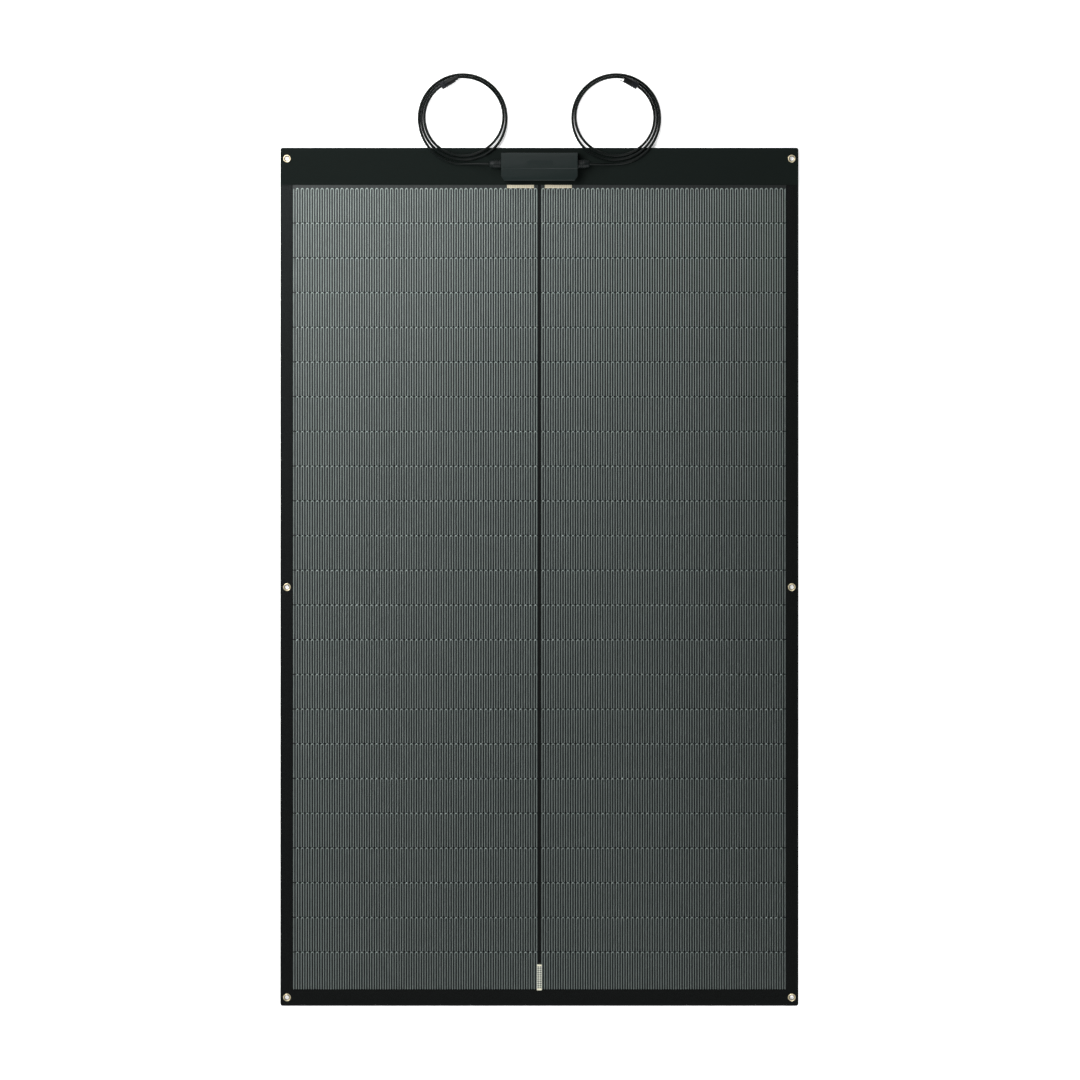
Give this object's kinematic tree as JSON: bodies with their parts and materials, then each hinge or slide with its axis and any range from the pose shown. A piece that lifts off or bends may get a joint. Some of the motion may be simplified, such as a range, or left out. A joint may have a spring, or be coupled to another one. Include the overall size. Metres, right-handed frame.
{
  "type": "flexible solar sheet",
  "caption": "Thin rectangular solar sheet of wired cell rows that bends along its length, with eyelets round its edge, a flat junction box and two short coiled leads.",
  "frame": {"origin": "centre of the sheet's back face, on the surface it lies on", "axes": "+Z out of the sunny side, +Y along the sheet towards the junction box, +X across it"},
  "size_m": [0.67, 1.2065, 0.019],
  "materials": {
    "back_sheet": "black woven-textured polymer, matt",
    "cell": "metal foil with a slate-grey thin-film coating",
    "wire_foil": "clear foil that holds a silvery wire serpentine",
    "front_film": "clear polymer film, satin",
    "cover_strip": "black polymer tape, satin",
    "tinned_ribbon": "tinned copper, dull",
    "eyelet": "pressed brass, worn bright",
    "adhesive": "black foam tape",
    "box": "moulded black polymer, satin",
    "gland": "moulded black polymer",
    "seal": "silicone rubber",
    "diode": "moulded black epoxy",
    "clip": "tinned brass",
    "copper": "stranded copper",
    "cable": "cross-linked polymer sheath, glossy",
    "connector": "moulded black polymer",
    "contact": "tin-plated copper"
  },
  "bodies": {
    "box_end": {"back_sheet_01": "back_sheet", "cells_01": "cell", "wire_foils_01": "wire_foil", "front_film_01": "front_film", "cover_strip": "cover_strip", "terminal_ribbons": "tinned_ribbon", "eyelets_top": "eyelet", "washers_top": "eyelet", "adhesive_pad": "adhesive", "box_base": "box", "box_lid": "box", "lid_seal": "seal", "bypass_diode": "diode", "terminal_clips": "clip", "conductors": "copper", "gland_nuts": "gland", "gland_seals": "seal", "cable_left": "cable", "cable_right": "cable", "connector_nuts": "connector", "socket_body": "connector", "socket_contact": "contact", "plug_body": "connector", "plug_pin": "contact"},
    "strip_02": {"back_sheet_02": "back_sheet", "cells_02": "cell", "wire_foils_02": "wire_foil", "front_film_02": "front_film"},
    "strip_03": {"back_sheet_03": "back_sheet", "cells_03": "cell", "wire_foils_03": "wire_foil", "front_film_03": "front_film"},
    "strip_04": {"back_sheet_04": "back_sheet", "cells_04": "cell", "wire_foils_04": "wire_foil", "front_film_04": "front_film", "eyelets_middle": "eyelet", "washers_middle": "eyelet"},
    "strip_05": {"back_sheet_05": "back_sheet", "cells_05": "cell", "wire_foils_05": "wire_foil", "front_film_05": "front_film"},
    "strip_06": {"back_sheet_06": "back_sheet", "cells_06": "cell", "wire_foils_06": "wire_foil", "front_film_06": "front_film", "cross_ribbon": "tinned_ribbon", "eyelets_bottom": "eyelet", "washers_bottom": "eyelet"}
  },
  "joints": [
    {"name": "bend_01", "type": "hinge", "parent": "box_end", "child": "strip_02", "pos_m": [0, 0.3683, 0.0018], "axis": [-1, 0, 0], "range_deg": [0, 32], "stiffness_Nm_per_rad": 2},
    {"name": "bend_02", "type": "hinge", "parent": "strip_02", "child": "strip_03", "pos_m": [0, 0.1887, 0.0018], "axis": [-1, 0, 0], "range_deg": [0, 32], "stiffness_Nm_per_rad": 2},
    {"name": "bend_03", "type": "hinge", "parent": "strip_03", "child": "strip_04", "pos_m": [0, 0.0091, 0.0018], "axis": [-1, 0, 0], "range_deg": [0, 32], "stiffness_Nm_per_rad": 2},
    {"name": "bend_04", "type": "hinge", "parent": "strip_04", "child": "strip_05", "pos_m": [0, -0.1705, 0.0018], "axis": [-1, 0, 0], "range_deg": [0, 32], "stiffness_Nm_per_rad": 2},
    {"name": "bend_05", "type": "hinge", "parent": "strip_05", "child": "strip_06", "pos_m": [0, -0.3501, 0.0018], "axis": [-1, 0, 0], "range_deg": [0, 32], "stiffness_Nm_per_rad": 2}
  ],
  "couplings": [
    {"joint": "bend_02", "follows": "bend_01", "ratio": 1},
    {"joint": "bend_03", "follows": "bend_01", "ratio": 1},
    {"joint": "bend_04", "follows": "bend_01", "ratio": 1},
    {"joint": "bend_05", "follows": "bend_01", "ratio": 1}
  ]
}
